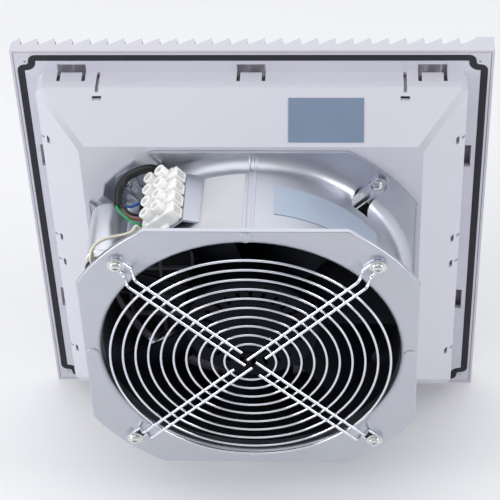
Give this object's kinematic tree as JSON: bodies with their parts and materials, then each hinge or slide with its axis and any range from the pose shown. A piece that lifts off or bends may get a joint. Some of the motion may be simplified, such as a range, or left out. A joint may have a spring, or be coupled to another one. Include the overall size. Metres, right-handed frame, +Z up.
{
  "type": "filter fan unit",
  "caption": "Square panel-mounted filter fan: louvred grille, filter mat and funnel housing with a round-walled axial fan, wire finger guard, capacitor and terminal strip.",
  "frame": {"origin": "centre of the panel cut-out, on the rear face of the flange that rests against the cabinet panel", "axes": "+X to the right and +Z up as seen from inside the cabinet, fan axis along Y, +Y out of the cabinet through the louvre grille, -Y into the cabinet through the finger guard"},
  "size_m": [0.323, 0.1483, 0.323],
  "materials": {
    "grille_plastic": "fine matt light grey",
    "filter_fleece": "white bonded fleece",
    "housing_plastic": "satin light grey",
    "gasket_foam": "matt foam",
    "zinc_sheet": "zinc plated, satin",
    "screw_steel": "bright zinc plated",
    "guard_wire": "bright plated wire",
    "carrier_steel": "zinc plated, satin",
    "cast_flange": "die cast",
    "lamination_steel": "stacked sheet",
    "copper_winding": "varnished",
    "bearing_steel": "ground and polished",
    "spring_steel": "dark, oiled",
    "rotor_paint": "black, satin",
    "cage_metal": "cast",
    "can_aluminium": "satin",
    "lid_plastic": "matt",
    "white_insulation": "soft gloss",
    "black_sheath": "satin",
    "blue_insulation": "soft gloss",
    "black_insulation": "soft gloss",
    "brown_insulation": "soft gloss",
    "green_insulation": "soft gloss",
    "terminal_plastic": "milky, satin",
    "terminal_brass": "bright",
    "foil_blue": "blue-grey foil",
    "label_white": "white foil",
    "foil_silver": "silver foil"
  },
  "bodies": {
    "unit": {"housing": "housing_plastic", "gasket": "gasket_foam", "fan_frame": "zinc_sheet", "fan_mount_screws": "screw_steel", "finger_guard": "guard_wire", "guard_washers": "screw_steel", "guard_screws": "screw_steel", "motor_carrier": "carrier_steel", "stator_flange": "cast_flange", "stator_stack": "lamination_steel", "stator_windings": "copper_winding", "flange_screws": "screw_steel", "bearing_outer_races": "bearing_steel", "bearing_balls": "bearing_steel", "capacitor_can": "can_aluminium", "capacitor_nut": "screw_steel", "capacitor_lid": "lid_plastic", "capacitor_leads": "white_insulation", "motor_cable": "black_sheath", "wire_blue": "blue_insulation", "wire_black": "black_insulation", "wire_brown": "brown_insulation", "wire_earth": "green_insulation", "terminal_block": "terminal_plastic", "terminal_clamps": "terminal_brass", "terminal_screws": "screw_steel", "terminal_bracket": "zinc_sheet", "terminal_fixing_screw": "screw_steel", "housing_plate": "foil_blue", "frame_label": "label_white", "frame_plate": "foil_silver"},
    "rotor": {"shaft": "bearing_steel", "shaft_circlip": "spring_steel", "bearing_inner_races": "bearing_steel", "rotor_cage": "cage_metal", "rotor_bell": "rotor_paint", "impeller": "rotor_paint"},
    "grille": {"louvre_grille": "grille_plastic"},
    "filter": {"filter_mat": "filter_fleece"}
  },
  "joints": [
    {"name": "rotor_spin", "type": "hinge", "parent": "unit", "child": "rotor", "pos_m": [0, 0, 0], "axis": [0, 1, 0], "continuous": true},
    {"name": "grille_pull", "type": "slide", "parent": "unit", "child": "grille", "axis": [0, 1, 0], "range_m": [0, 0.06]},
    {"name": "filter_pull", "type": "slide", "parent": "unit", "child": "filter", "axis": [0, 1, 0], "range_m": [0, 0.03]}
  ],
  "couplings": [
    {"joint": "filter_pull", "follows": "grille_pull", "ratio": 0.5}
  ]
}
